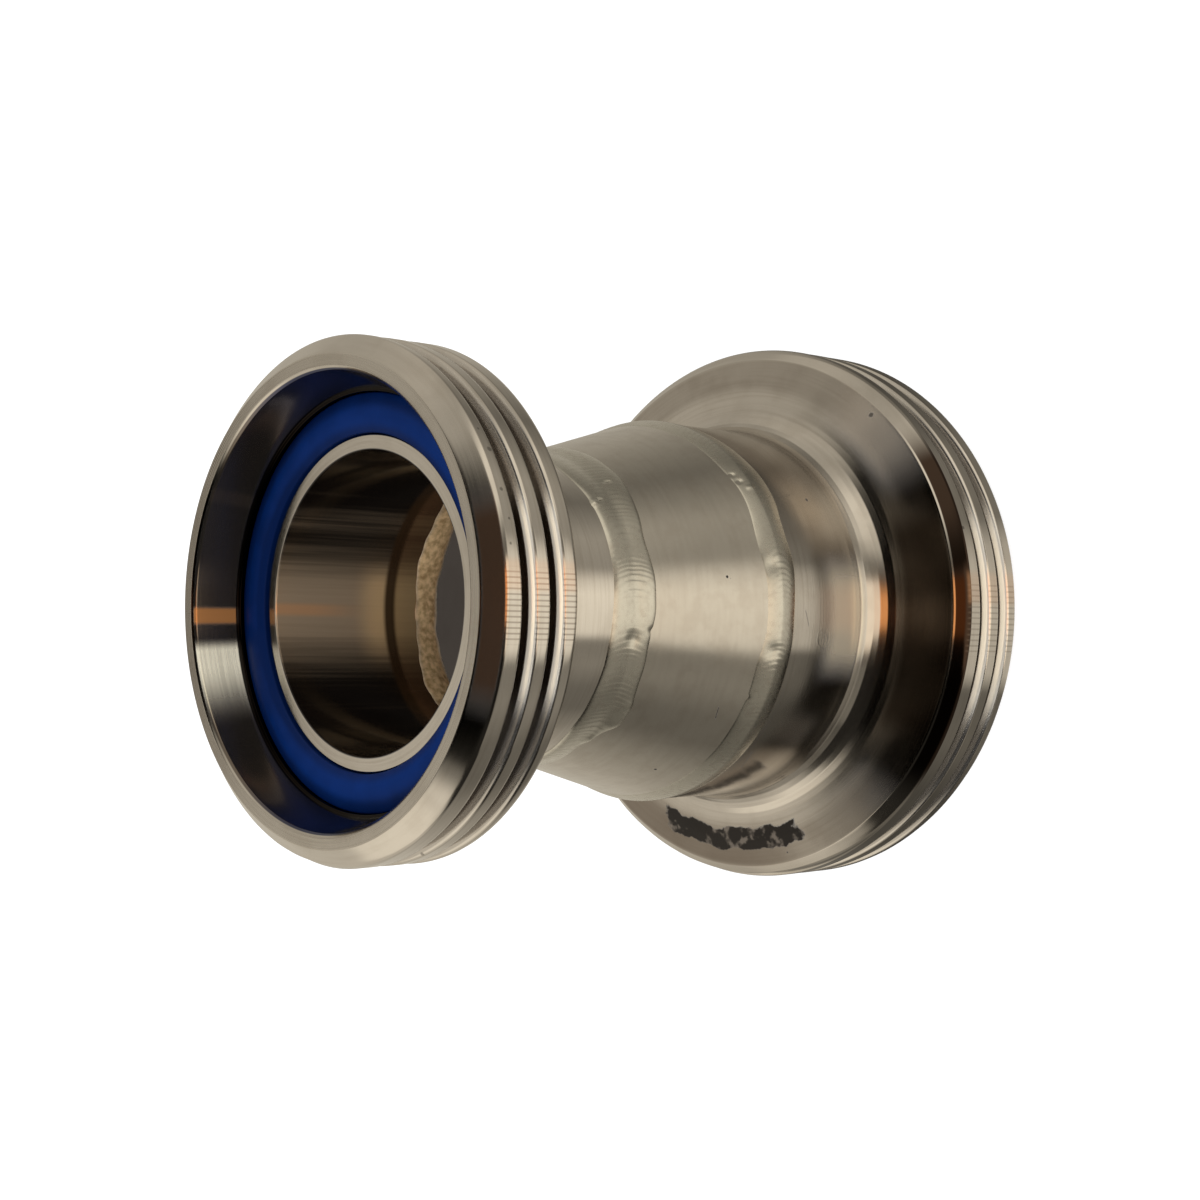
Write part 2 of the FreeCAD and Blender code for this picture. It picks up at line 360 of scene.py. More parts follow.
class Level:
    """A shader value. Arithmetic on it adds the Math nodes that it stands for."""

    def __init__(self, paint, socket):
        self.paint = paint
        self.socket = socket

    def maths(self, operation, *values):
        inputs = dict(enumerate(values))
        return self.paint.node("ShaderNodeMath", {"operation": operation}, inputs)

    __add__ = __radd__ = sum_of("ADD")
    __sub__ = sum_of("SUBTRACT")
    __rsub__ = sum_of("SUBTRACT", reflected=True)
    __mul__ = __rmul__ = sum_of("MULTIPLY")
    __truediv__ = sum_of("DIVIDE")
    __rtruediv__ = sum_of("DIVIDE", reflected=True)
    __pow__ = sum_of("POWER")
    least = sum_of("MINIMUM")
    most = sum_of("MAXIMUM")

    def __neg__(self):
        return self.maths("MULTIPLY", self, -1.0)

    def __abs__(self):
        return self.maths("ABSOLUTE", self)

    def towards(self, start, end):
        """0 at start and 1 at end, with a soft run between them."""
        settings = {"interpolation_type": "SMOOTHSTEP"}
        inputs = {"Value": self, "From Min": start, "From Max": end}
        return self.paint.node("ShaderNodeMapRange", settings, inputs)

    def within(self, low, high, soft):
        """1 between low and high, falling to 0 over soft outside them."""
        return self.towards(low - soft, low) * (1 - self.towards(high, high + soft))


class Paint:
    """A node material in the making, with the places on a piece as shader values."""

    def __init__(self, name, tree=None):
        if tree is None:
            self.material = bpy.data.materials.new(name)
            self.material.use_nodes = True
            tree = self.material.node_tree
        self.tree = tree
        self.tree.nodes.clear()
        self.count = 0

    def node(self, kind, settings=None, inputs=None, output=0):
        """Adds a node: its settings first, then the values or links of its sockets."""
        made = self.tree.nodes.new(kind)
        made.location = (self.count * 180, (self.count % 7) * -160)
        self.count += 1
        for name, value in (settings or {}).items():
            if name == "stops":
                set_stops(made.color_ramp, value)
            else:
                setattr(made, name, value)
        for name, value in (inputs or {}).items():
            if isinstance(value, Level):
                self.tree.links.new(value.socket, made.inputs[name])
            else:
                made.inputs[name].default_value = value
        return Level(self, made.outputs[output]) if made.outputs else made

    def parts(self, vector):
        """The x, y and z of a vector."""
        kind = "ShaderNodeSeparateXYZ"
        return [self.node(kind, inputs={0: vector}, output=axis) for axis in range(3)]

    def places(self):
        """Reads the height, the radius and the angle round the flow axis of a point on the piece.

        The angle is counted from the camera side, and back is counted from the far side.
        """
        self.spot = self.node("ShaderNodeTexCoord", output="Object")
        x, y, self.z = self.parts(self.spot)
        self.radius = (x * x + y * y) ** 0.5
        self.angle = x.maths("ARCTAN2", x, -y)
        self.back = x.maths("ARCTAN2", -x, y)
        self.ragged = self.grain(0.7 * MM, 3.0) - 0.5
        return self

    def mix(self, factor, first, second, blend="MIX"):
        """Mixes two colours, each a colour or a link."""
        settings = {"data_type": "RGBA", "blend_type": blend, "clamp_factor": True}
        inputs = {0: factor, 6: opaque(first), 7: opaque(second)}
        return self.node("ShaderNodeMix", settings, inputs, output=2)

    def bump(self, distance, height):
        inputs = {"Strength": 0.3, "Distance": distance, "Height": height}
        return self.node("ShaderNodeBump", inputs=inputs)

    def grain(self, size, detail, place=None):
        """Noise whose grains are about size across."""
        inputs = {0: place or self.spot, 1: (1 / size,) * 3}
        grown = self.node("ShaderNodeVectorMath", {"operation": "MULTIPLY"}, inputs)
        inputs = {"Vector": grown, "Scale": 1.0, "Detail": detail}
        return self.node("ShaderNodeTexNoise", inputs=inputs)

    def lathe_lines(self, size, detail, shift=0.0):
        """Noise that changes only along the outline, as the marks of a turning tool do."""
        along = (self.z + self.radius * OUTWARD_SHARE + shift) / size
        inputs = {"W": along, "Scale": 1.0, "Detail": detail}
        return self.node("ShaderNodeTexNoise", {"noise_dimensions": "1D"}, inputs)

    def around(self, across, round_part, detail):
        """Noise in streaks that run round the axis: across metres wide, round_part radians long."""
        inputs = {0: self.z + self.radius * OUTWARD_SHARE, 1: self.angle * (across / round_part)}
        return self.grain(across, detail, self.node("ShaderNodeCombineXYZ", inputs=inputs))

    def away(self, degrees, height, radius):
        """How far a point lies from a place given by its angle, height and radius."""
        aside = (self.angle - math.radians(degrees)) * (radius * MM)
        along = self.z - height * MM
        out = self.radius - radius * MM
        return (aside * aside + along * along + out * out) ** 0.5

    def dots(self, places):
        """1 in ragged round spots, each an angle, a height, a radius from the axis and a size."""
        total = 0.0
        for *place, size in places:
            core = size * SPOT_CORE * MM
            far = self.away(*place) + self.ragged * core
            total = (1 - far.towards(core, size * MM)) + total
        return total

    def rings(self, places):
        """1 along fine circles, given as the dots are."""
        total = 0.0
        for *place, size in places:
            total = self.away(*place).within(size * RING_CORE * MM, size * MM, RING_SOFT) + total
        return total

    def lines(self, places):
        """1 along fine lines, each two angles and heights, a radius from the axis and a width."""
        total = 0.0
        for degrees, height, last_degrees, last_height, radius, width in places:
            run = Vector((math.radians(last_degrees - degrees) * radius, last_height - height)) * MM
            reach = run.length
            run.normalize()
            aside = (self.angle - math.radians(degrees)) * (radius * MM)
            up = self.z - height * MM
            along = aside * run.x + up * run.y
            across = abs(up * run.x - aside * run.y + self.ragged * (width * MM))
            ends = along.within(0.0, reach, LINE_END_SOFT)
            total = ends * (1 - across.towards(width * LINE_CORE * MM, width * MM)) + total
        return total

    def finish(self, shader):
        self.node("ShaderNodeOutputMaterial", inputs={"Surface": shader})
        return self.material


def opaque(value):
    return value if isinstance(value, Level) else (*value[:3], 1.0)


def set_stops(ramp, stops):
    """Gives a colour ramp its stops, each a place and a colour."""
    while len(ramp.elements) < len(stops):
        ramp.elements.new(1.0)
    for element, (place, value) in zip(ramp.elements, stops):
        element.position = place
        element.color = opaque(value)


def coupling():
    return bpy.context.scene.coupling


# Finishes

# Most colours below are painted light and shade laid into the steel: painted reflections, highlights,
# glints and shade. The bore's heat tints are the steel's own colour, laid in a lit and a shaded copy
# and, for the straw, only where the painted reflection falls; the worn brown and the weld root's
# colours are the steel's own.
BORE_PAINTED_REFLECTION = (0.54, 0.405, 0.27)
STRAW_TINT_IN_REFLECTION = (0.98, 0.68, 0.35)
HEAT_TINT_IN_SHADE = (0.13, 0.07, 0.035)
HEAT_TINT_IN_LIGHT = (0.60, 0.40, 0.19)
BORE_ORANGE_GLINT = (0.80, 0.42, 0.20)
GROOVE_PAINTED_SHADE = (0.05, 0.035, 0.025)
FLANK_PAINTED_HIGHLIGHT = (0.95, 0.88, 0.76)
BEVEL_PAINTED_REFLECTION = (0.22, 0.13, 0.08)
CREST_PAINTED_GLINT = (0.72, 0.40, 0.22)
ROUND_PAINTED_REFLECTION = (0.07, 0.05, 0.035)
NECK_PAINTED_HIGHLIGHT = (0.86, 0.73, 0.54)
SHOULDER_PAINTED_SHEEN = (0.58, 0.50, 0.40)
EDGE_PAINTED_REFLECTION = (0.045, 0.03, 0.022)
SEAT_PAINTED_SHADE = (0.15, 0.12, 0.095)
SEAT_PAINTED_SEAL_REFLECTION = (0.03, 0.045, 0.11)
SEAT_PAINTED_HIGHLIGHT = (0.92, 0.86, 0.68)
SEAT_PAINTED_GLINT = (0.52, 0.23, 0.08)
WORN_BROWN = (0.15, 0.125, 0.10)
INSIDE_CONE_PAINTED_SHADE = (0.095, 0.095, 0.105)
ROOT_BROWN = (0.42, 0.26, 0.12)
ROOT_TAN = (0.92, 0.66, 0.36)

# Marks of use: an angle, a height, a radius from the axis and a size, in degrees and millimetres
PITS = {
    "small": [],
    "large": [
        (32.8, 25.3, 26.5, 0.30), (47, 14.0, 36.2, 0.55), (51, 13.2, 37.2, 0.4), (-75, 14.1, 36, 0.3),
    ],
    "reducer": [(7.8, 43.7, 24.3, 0.24), (7.2, 43.2, 24.3, 0.16), (-63, 43.5, 24.3, 0.26)],
}
SCRATCHES = {
    "small": [],
    "large": [(-2.2, 31.0, -6.0, 30.3, 26.5, 0.07), (-48, 31.8, -55, 31.0, 26.5, 0.12)],
    "reducer": [(-33, 41.9, -36.5, 41.6, 24.8, 0.10)],
}
RINGS = {
    "small": [],
    "large": [(-10.2, 27.2, 26.5, 1.0), (-10.6, 27.4, 26.5, 0.6), (-9.6, 26.9, 26.5, 1.4)],
}
NICKS = {
    "small": [
        (34, 88.2, 32.3, 0.30), (29, 87.9, 32.4, 0.42), (25, 88.3, 32.2, 0.25), (20, 88.1, 32.3, 0.35),
        (14, 87.9, 32.4, 0.22), (9, 88.2, 32.3, 0.30), (60, 87.5, 32.4, 0.4), (-70, 84.0, 32.4, 0.4),
    ],
    "large": [(15, 12.0, 38.9, 0.3), (-30, 8.0, 38.9, 0.3), (62, 8.2, 38.9, 0.35)],
}


class Coating:
    """A steel's colour under its marks, its roughness and how much of its mirror the marks take."""

    def __init__(self, paint, base, roughness):
        self.paint = paint
        self.base = base
        self.roughness = roughness
        self.dull = 0.0

    def lay(self, where, shade, amount=None, dull=None, rough=None):
        """Lays a colour over a place, and makes the steel there duller and rougher."""
        factor = where if amount is None else where * amount
        self.base = self.paint.mix(factor, self.base, shade)
        if dull is not None:
            self.dull = where * dull + self.dull
        if rough is not None:
            self.roughness = self.roughness + where * rough

    def finish(self, relief, distance, brushing):
        """The steel's material; brushing draws reflections out across the lathe lines."""
        inputs = {
            "Base Color": self.base,
            "Metallic": 1 - self.dull.least(1.0),
            "Roughness": self.roughness,
            "Normal": self.paint.bump(distance, relief),
            "Anisotropic": brushing,
            "Anisotropic Rotation": 0.25,
        }
        return self.paint.finish(self.paint.node("ShaderNodeBsdfPrincipled", inputs=inputs))


class EndPaint(Paint):
    """Paint for a turned end, with its places in millimetres and degrees.

    Depth counts inwards from the end face, front from the camera side and turn from the far side.
    """

    def __init__(self, end):
        super().__init__(end.name + "_turned_steel")
        self.places()
        self.depth = ((end.face - self.z) if end.turned_over else self.z) / MM
        self.below_crest = (end.crest - self.radius) / MM
        self.past_mouth = (self.radius - end.mouth) / MM
        self.past_tube = (self.radius - end.tube) / MM
        self.past_bore = (self.radius - end.bore) / MM
        self.from_weld = abs(self.z - end.weld_centre) / MM
        self.front = self.angle * math.degrees(1)
        self.turn = self.back * math.degrees(1)
        self.lit = self.front.within(-18, 14, 10)
        self.behind_rim = self.depth.towards(13.9, 14.1)

    def bore_streaks(self, across, along, detail):
        """Noise in streaks along the bore, finer with more of them to the radian and the metre."""
        inputs = {0: self.back * across, 1: self.z * along}
        return self.grain(1.0, detail, self.node("ShaderNodeCombineXYZ", inputs=inputs))


def bore_painted_reflection_and_tint(coat, finish):
    """Painted reflection in streaks along the bore over black painted shade; by the weld, a straw heat
    tint shown only in the painted reflection, heat tint in a lit and a shaded copy, a dark line of
    heat tint and a painted orange glint.
    """
    paint = coat.paint
    turn = paint.turn
    from_weld = paint.from_weld
    # Painted reflection: light streaks along the bore, lightest on the far wall that faces the camera,
    # with black painted shade between them.
    painted_bore_light = (1 - abs(turn + 1).towards(0, 36)) + (paint.bore_streaks(7.0, 12.0, 5.0) - 0.5) * 0.6
    painted_bore_light = painted_bore_light + turn.within(-42, -37, 7) * 0.22
    painted_bore_light = (painted_bore_light + (paint.bore_streaks(40.0, 30.0, 2.0) - 0.5) * 0.35).towards(0.0, 1.1)
    # A straw heat-tint band by the weld, laid only where the painted reflection falls on the wall that
    # faces the camera.
    straw = from_weld.within(8.2, 9.4, 5) * painted_bore_light * turn.within(-10, 12, 16)
    near_weld = 1 - from_weld.towards(7.0, 7.6)
    line = from_weld.within(7.25, 8.2, 0.9)
    # A painted orange glint along the bore, a reflection of the orange lamp.
    glow = turn.within(-1.5, 0.5, 2.5) * from_weld.towards(11, 22)
    painted_reflection_brown = Coating(paint, paint.mix(painted_bore_light, finish.soot_and_painted_shade, BORE_PAINTED_REFLECTION), 0.0)
    painted_reflection_brown.lay(straw, STRAW_TINT_IN_REFLECTION, 0.85)
    # Heat tint by the weld, painted lighter where the painted reflection falls and darker in the
    # painted shade.
    painted_reflection_brown.lay(near_weld, paint.mix(painted_bore_light, HEAT_TINT_IN_SHADE, HEAT_TINT_IN_LIGHT), 0.85)
    painted_reflection_brown.lay(line, finish.brown_tint, 0.95)
    painted_reflection_brown.lay(glow, BORE_ORANGE_GLINT, 0.7)
    coat.lay(1 - paint.past_bore.towards(0.1, 0.3), painted_reflection_brown.base, dull=0.36)


def thread_painted_light_and_shade(coat):
    """Painted shade in the thread's grooves, and a painted highlight on the flanks and a painted brown
    reflection on the nose bevel on the camera side.
    """
    paint = coat.paint
    lit = paint.lit
    threaded = paint.depth.within(2.3, 11.4, 0.3)
    groove = threaded * paint.below_crest.within(1.3, 2.3, 0.3)
    flank = threaded * paint.below_crest.within(0.2, 1.05, 0.15)
    bevel = paint.depth.within(0.25, 1.7, 0.2) * paint.past_mouth.towards(1.2, 1.5) * lit
    # Painted shade in the grooves, more on the camera side; a painted highlight on the flanks and a
    # painted brown reflection on the nose bevel, on the camera side.
    coat.lay(groove, GROOVE_PAINTED_SHADE, 0.55 + lit * 0.4, dull=0.04, rough=0.1)
    coat.lay(flank, FLANK_PAINTED_HIGHLIGHT, lit, dull=0.06 + lit * 0.34)
    coat.lay(bevel, BEVEL_PAINTED_REFLECTION, dull=0.1)


def shoulder_painted_reflection(coat, cloud, finish):
    """Painted dark reflection on the back of the rim, darkest at its round on the camera side."""
    paint = coat.paint
    outer = paint.behind_rim * paint.past_tube.towards(5.5, 7.5)
    inner = paint.behind_rim * paint.past_tube.towards(2.5, 5)
    # Painted dark reflection on the outer back of the rim, uneven with the cloud noise, and darker
    # painted reflection at its round on the camera side.
    coat.lay(outer, finish.painted_reflection_brown, 0.25 + cloud * 0.25)
    coat.lay(inner * paint.front.within(-26, 16, 14), ROUND_PAINTED_REFLECTION, 0.9)


def large_end_painted_light(coat, finish):
    """Painted dark reflection, satin patches of painted pale sheen and a painted highlight on the
    large end's neck and shoulder, and a painted dark reflection along the back bevel.
    """
    paint = coat.paint
    depth = paint.depth
    front = paint.front
    neck = depth.towards(18.5, 20) * paint.past_bore.towards(0, 1)
    # How much painted dark reflection the neck gets: more on its sides than on the camera side.
    sides = front.towards(12, 22) * 0.3 + front.towards(34, 46) * 0.2
    sides = sides + (1 - front.towards(-48, -36)) * 0.4
    # A painted highlight on the neck by its round, on the camera side.
    neck_highlight = neck * (1 - depth.towards(24, 28.5)) * front.within(-12, 6, 13)
    shoulder = paint.behind_rim * paint.past_tube.towards(3.5, 6.5)
    # Satin patches of painted pale sheen on the shoulder, at two angles round it.
    pale = front.within(40, 46, 16) * 0.2 + front.within(-52, -48, 10) * 0.1
    # A painted dark reflection along the back bevel, on the camera side.
    edge = depth.within(12.2, 13.75, 0.1) * front.within(-34, 30, 12)
    coat.lay(neck, finish.painted_reflection_brown, sides)
    coat.lay(neck_highlight, NECK_PAINTED_HIGHLIGHT, dull=0.3)
    coat.lay(shoulder * pale, SHOULDER_PAINTED_SHEEN, 4, dull=1.0)
    # Painted dark reflection on the lower side of the shoulder.
    coat.lay(shoulder * (1 - front.towards(-86, -64)), finish.painted_reflection_brown, 0.6)
    coat.lay(edge * paint.below_crest.towards(2, 1.9), EDGE_PAINTED_REFLECTION)


def seat_painted_light(coat, end, streaks, finish):
    """The liner seat in painted shade, with a painted reflection of the seal, a painted highlight and
    painted orange glints; black painted shade in the gaps beside the seal.
    """
    paint = coat.paint
    turn = paint.turn
    recess = end.sizes.seal_recess / MM
    opening = (end.mouth - end.seal_wall) / MM
    seat = paint.past_mouth.within(0.2 - opening, -0.3, 0.1)
    seat = seat * (1 - paint.depth.towards(recess + 0.1, recess + 0.3))
    # A painted highlight on the seat, streaked, beside its far side.
    seat_highlight = turn.towards(7, 11) * (1 - turn.towards(14, 34)) * seat * (0.7 + streaks * 0.5)
    # Painted orange glints on the seat, reflections of the orange lamp.
    orange_glint = (turn.within(-0.5, 2.5, 1.5) + turn.within(-34, -32, 2) * 0.06) * seat
    # Painted shade over the seat, and a painted reflection of the blue seal on its near side.
    coat.lay(seat, SEAT_PAINTED_SHADE, 0.84 + abs(turn).towards(28, 45) * 0.06, dull=0.04)
    coat.lay(seat * (1 - turn.within(-46, 46, 34)), SEAT_PAINTED_SEAL_REFLECTION, 0.8)
    coat.lay(seat_highlight, SEAT_PAINTED_HIGHLIGHT, dull=0.5, rough=0.15)
    coat.lay(orange_glint, SEAT_PAINTED_GLINT, dull=0.35)

    radius = paint.radius
    # Black painted shade in the gaps beside the seal.
    gap = radius.within(end.seal_inner - 0.15 * MM, end.seal_wall + 0.5 * MM, 0.05 * MM)
    seal = radius.within(end.seal_inner + 0.2 * MM, end.seal_outer - 0.2 * MM, 0.1 * MM)
    gap = gap * paint.depth.within(recess - 0.25, recess + 6, 0.2) * (1 - seal)
    coat.lay(gap, finish.soot_and_painted_shade)


def worn_patch(coat, finish):
    """Where the large shoulder's surface has worn away, an uneven patch without any pattern."""
    paint = coat.paint
    uneven = paint.grain(2.4 * MM, 4.0) - 0.5
    turn = paint.front + uneven * 12
    out = paint.past_tube + uneven * 2.2
    worn = turn.within(-112, -70, 1.5) * out.within(5.4, 8.4, 0.25)
    worn = worn * paint.depth.within(13.5, 16, 0.3)
    mottle = paint.grain(2.0 * MM, 3.0).towards(0.52, 0.66)
    coat.lay(worn, paint.mix(mottle, finish.soot_and_painted_shade, WORN_BROWN), dull=0.7, rough=0.35)


def crest_painted_glints(coat, tick_share, finish):
    """Painted dark ticks across the crests, and a painted warm glint on them, both on the camera side.
    """
    paint = coat.paint
    crest = paint.below_crest.towards(0.4, 0.1)
    # Painted dark ticks across the crests and a painted warm glint on them, on the camera side.
    ticks = paint.front * 5.8
    ticks = ticks.maths("SINE", ticks).towards(0.1, 0.9) * paint.front.within(-9, 3, 2)
    coat.lay(ticks * crest, finish.painted_reflection_brown, tick_share)
    coat.lay(crest * paint.front.within(1, 5, 2), CREST_PAINTED_GLINT, 0.2)


def turned_steel(end):
    """Stainless steel off the lathe, with the painted light and shade, the heat tints and the marks of
    use of one end.
    """
    finish = coupling().finish
    paint = EndPaint(end)
    fine = paint.lathe_lines(0.22 * MM, 3.0)
    broad = paint.lathe_lines(1.6 * MM, 2.0, shift=0.05)
    streaks = paint.around(0.5 * MM, 0.6, 3.0)
    cloud = paint.grain(5 * MM, 3.0)
    roughness = finish.turned_roughness + (fine - 0.5) * 0.06 + (streaks - 0.5) * 0.05
    roughness = roughness + paint.depth.towards(0.1, 0.0) * 0.14
    satin = paint.depth.towards(13.9, 14.3) * paint.past_bore.towards(0, 1)
    round_part = satin * (1 - paint.past_tube.towards(6, 8)) * (1 - paint.depth.towards(19.5, 23))
    roughness = roughness + satin * (0.02 + (cloud - 0.5) * 0.12) + round_part * 0.04

    coat = Coating(paint, finish.turned_steel, roughness)
    coat.lay(streaks.towards(0.4, 0.8), finish.worn_steel, 0.5)
    coat.lay(cloud.towards(0.45, 0.7), finish.worn_steel, 0.3)
    bore_painted_reflection_and_tint(coat, finish)
    thread_painted_light_and_shade(coat)
    shoulder_painted_reflection(coat, cloud, finish)
    if end.name == "large":
        large_end_painted_light(coat, finish)
    seat_painted_light(coat, end, streaks, finish)
    pits = paint.dots(PITS[end.name]) + paint.lines(SCRATCHES[end.name])
    coat.lay(pits, finish.soot_and_painted_shade, 0.9, dull=0.6)
    if end.name == "large":
        worn_patch(coat, finish)
    crest_painted_glints(coat, 0.5 if end.turned_over else 0.3, finish)
    coat.lay(paint.dots(NICKS[end.name]), finish.soot_and_painted_shade, 0.5)
    relief = fine * 0.6 + broad * 0.4 + paint.rings(RINGS[end.name]) * 0.8
    return coat.finish(relief, 0.012 * MM, finish.brushing)


def pressed_steel(cone):
    """The reducer's brushed steel, with faint scratches round it and painted shade on its inside."""
    finish = coupling().finish
    paint = Paint("pressed_steel").places()
    fine = paint.lathe_lines(0.3 * MM, 3.0)
    streaks = paint.around(0.6 * MM, 0.4, 3.0)
    cloud = paint.grain(9 * MM, 2.0)
    blotch = paint.grain(2.4 * MM, 4.0)
    roughness = finish.pressed_roughness + (cloud - 0.5) * 0.16 + (fine - 0.5) * 0.06
    coat = Coating(paint, finish.pressed_steel, roughness + (blotch - 0.5) * 0.12)
    coat.lay(streaks.towards(0.4, 0.75), finish.worn_steel, 0.3)
    coat.lay(blotch.towards(0.45, 0.7), finish.worn_steel, 0.35)
    pits = paint.dots(PITS["reducer"]) + paint.lines(SCRATCHES["reducer"])
    coat.lay(pits.least(1.0), finish.soot_and_painted_shade, dull=0.6)
    # Painted shade: the inside of the cone darker and bluish grey.
    past_middle = paint.radius - (cone.outside(paint.z) + cone.inside(paint.z)) / 2
    coat.lay(1 - past_middle.towards(-0.1 * MM, 0.1 * MM), INSIDE_CONE_PAINTED_SHADE, 0.85)
    return coat.finish(fine, 0.006 * MM, finish.brushing)


def weld_metal(end):
    """Unground bead metal, finely pitted; its root in the bore is rough and tan."""
    finish = coupling().finish
    paint = Paint(end.name + "_weld_metal").places()
    rough = paint.grain(0.8 * MM, 4.0)
    cloud = paint.grain(2.5 * MM, 3.0)
    coat = Coating(paint, finish.weld_steel, 0.26 + (rough - 0.5) * 0.16 + (cloud - 0.5) * 0.14)
    coat.lay(rough.towards(0.45, 0.75), finish.worn_steel, 0.4)
    inside = 1 - paint.radius.towards(end.bore - 0.2 * MM, end.bore + 0.3 * MM)
    root = paint.mix(rough.towards(0.25, 0.75), ROOT_BROWN, ROOT_TAN)
    coat.lay(inside, root, dull=0.55, rough=0.2)
    return coat.finish(rough * (0.5 + inside * 6) + cloud, 0.015 * MM, 0.2)


def seal_rubber(end):
    """Satin blue joint rubber with a fine moulded grain, in painted shade on its far side and towards
    its edges.
    """
    finish = coupling().finish
    paint = Paint(end.name + "_seal_rubber").places()
    cloud = paint.grain(4 * MM, 3.0)
    # The rubber's blue in painted shade.
    deep = tuple(part * 0.4 for part in finish.seal_blue)
    middle = paint.radius.within(end.seal_inner + 1.5 * MM, end.seal_outer - 2.2 * MM, 1.3 * MM)
    # Painted shade: darker on the far side and towards the edges, and random unevenness from the cloud
    # noise.
    shade = cloud.towards(0.3, 0.7) * 0.2 + (1 - abs(paint.back).towards(0.2, 1.5)) * 0.8
    shade = shade + (1 - middle) * 0.6
    inputs = {
        "Base Color": paint.mix(shade, finish.seal_blue, deep),
        "Roughness": 0.42 + (cloud - 0.5) * 0.2,
        "Specular IOR Level": 0.08,
        "Normal": paint.bump(0.01 * MM, paint.grain(0.12 * MM, 2.0)),
    }
    return paint.finish(paint.node("ShaderNodeBsdfPrincipled", inputs=inputs))


# The turned ends

THREAD_COLUMNS = 352
CREST_ROUND = 0.8 * MM
ROOT_ROUND = 0.5 * MM
NOSE_ROUND = 0.35 * MM
BACK_ROUND = 0.5 * MM
# The threaded rim starts and ends this far inside its faces
RIM_INSET = 0.25 * MM
# Depths over which the groove deepens behind the face and fades out before the back edge
LEAD_IN = (1.4 * MM, 3.2 * MM)
RUN_OUT = (11.4 * MM, 13.0 * MM)
# A tube end and the cone stop this far short of the middle of the weld between them
WELD_GAP = 0.3 * MM


def thread_rows(sizes):
    """Places across one thread groove and its crest, from groove centre to groove centre."""
    root = sizes.thread_root_width / 2
    edge = root + sizes.thread_depth * math.tan(sizes.thread_flank)
    half = sizes.thread_pitch / 2
    side = np.concatenate(
        (
            np.linspace(0.0, root, 3, endpoint=False),
            np.linspace(root, edge, 6, endpoint=False),
            np.linspace(edge, half, 4, endpoint=False),
        )
    )
    return np.concatenate((side, [half], sizes.thread_pitch - side[:0:-1]))


def thread_radius(sizes, across, crest):
    """The radius at a place across the groove: flat root and leaning flanks that pass the crest."""
    from_centre = np.minimum(across, sizes.thread_pitch - across)
    flank = (from_centre - sizes.thread_root_width / 2) / math.tan(sizes.thread_flank)
    risen = -soft_least(-flank, np.zeros_like(flank), ROOT_ROUND)
    return crest - sizes.thread_depth + np.minimum(risen, sizes.thread_depth + CREST_ROUND)


def rim_envelope(end, depth):
    """The rim's radius before the thread is cut: a bevel at each edge."""
    sizes = end.sizes
    nose = end.crest - sizes.nose_drop * (1 - depth / sizes.nose_length)
    back = end.crest - sizes.back_bevel * (1 - (sizes.rim_width - depth) / sizes.back_bevel)
    crest = np.full_like(depth, end.crest)
    return soft_least(soft_least(nose, crest, NOSE_ROUND), back, BACK_ROUND)


def thread_ribbon(end):
    """Points and faces of the threaded rim, in rows that follow the helix."""
    sizes = end.sizes
    across = thread_rows(sizes)
    turns = math.ceil((sizes.rim_width + end.thread_lead) / sizes.thread_pitch) + 3
    starts = (np.arange(turns) - 2) * sizes.thread_pitch - end.thread_lead
    along = (starts[:, None] + across[None, :]).ravel()
    rows, columns = len(along), THREAD_COLUMNS
    angles = circle_angles(columns)
    climb = sizes.thread_pitch * angles[None, :] / (2 * math.pi)
    first, last = RIM_INSET, sizes.rim_width - RIM_INSET
    depth = np.clip(along[:, None] + climb, first, last)
    thread = thread_radius(sizes, np.tile(across, turns), end.crest)
    groove = starts[:, None] + np.where(across > sizes.thread_pitch / 2, sizes.thread_pitch, 0.0)
    groove = groove.ravel()[:, None] + climb
    filled = 1 - smooth_step(groove, *LEAD_IN) + smooth_step(groove, *RUN_OUT)
    filled = filled * (sizes.thread_depth + CREST_ROUND)
    envelope = rim_envelope(end, depth)
    radii = soft_least(envelope, thread[:, None] + filled, CREST_ROUND)
    radii = np.where((depth == first) | (depth == last), envelope, radii)
    row, column = np.meshgrid(np.arange(rows - 1), np.arange(columns), indexing="ij")
    seam = column == columns - 1
    beside = np.where(seam, 0, column + 1)
    lift = np.where(seam, len(across), 0)
    kept = (row + 1 + lift) < rows
    corners = (
        row * columns + column,
        (row + lift) * columns + beside,
        (row + 1 + lift) * columns + beside,
        (row + 1) * columns + column,
    )
    faces = np.stack(corners, axis=-1)[kept]
    flat = depth.reshape(-1)[faces]
    return spun(radii, depth, angles), faces[flat.max(axis=1) > flat.min(axis=1)]


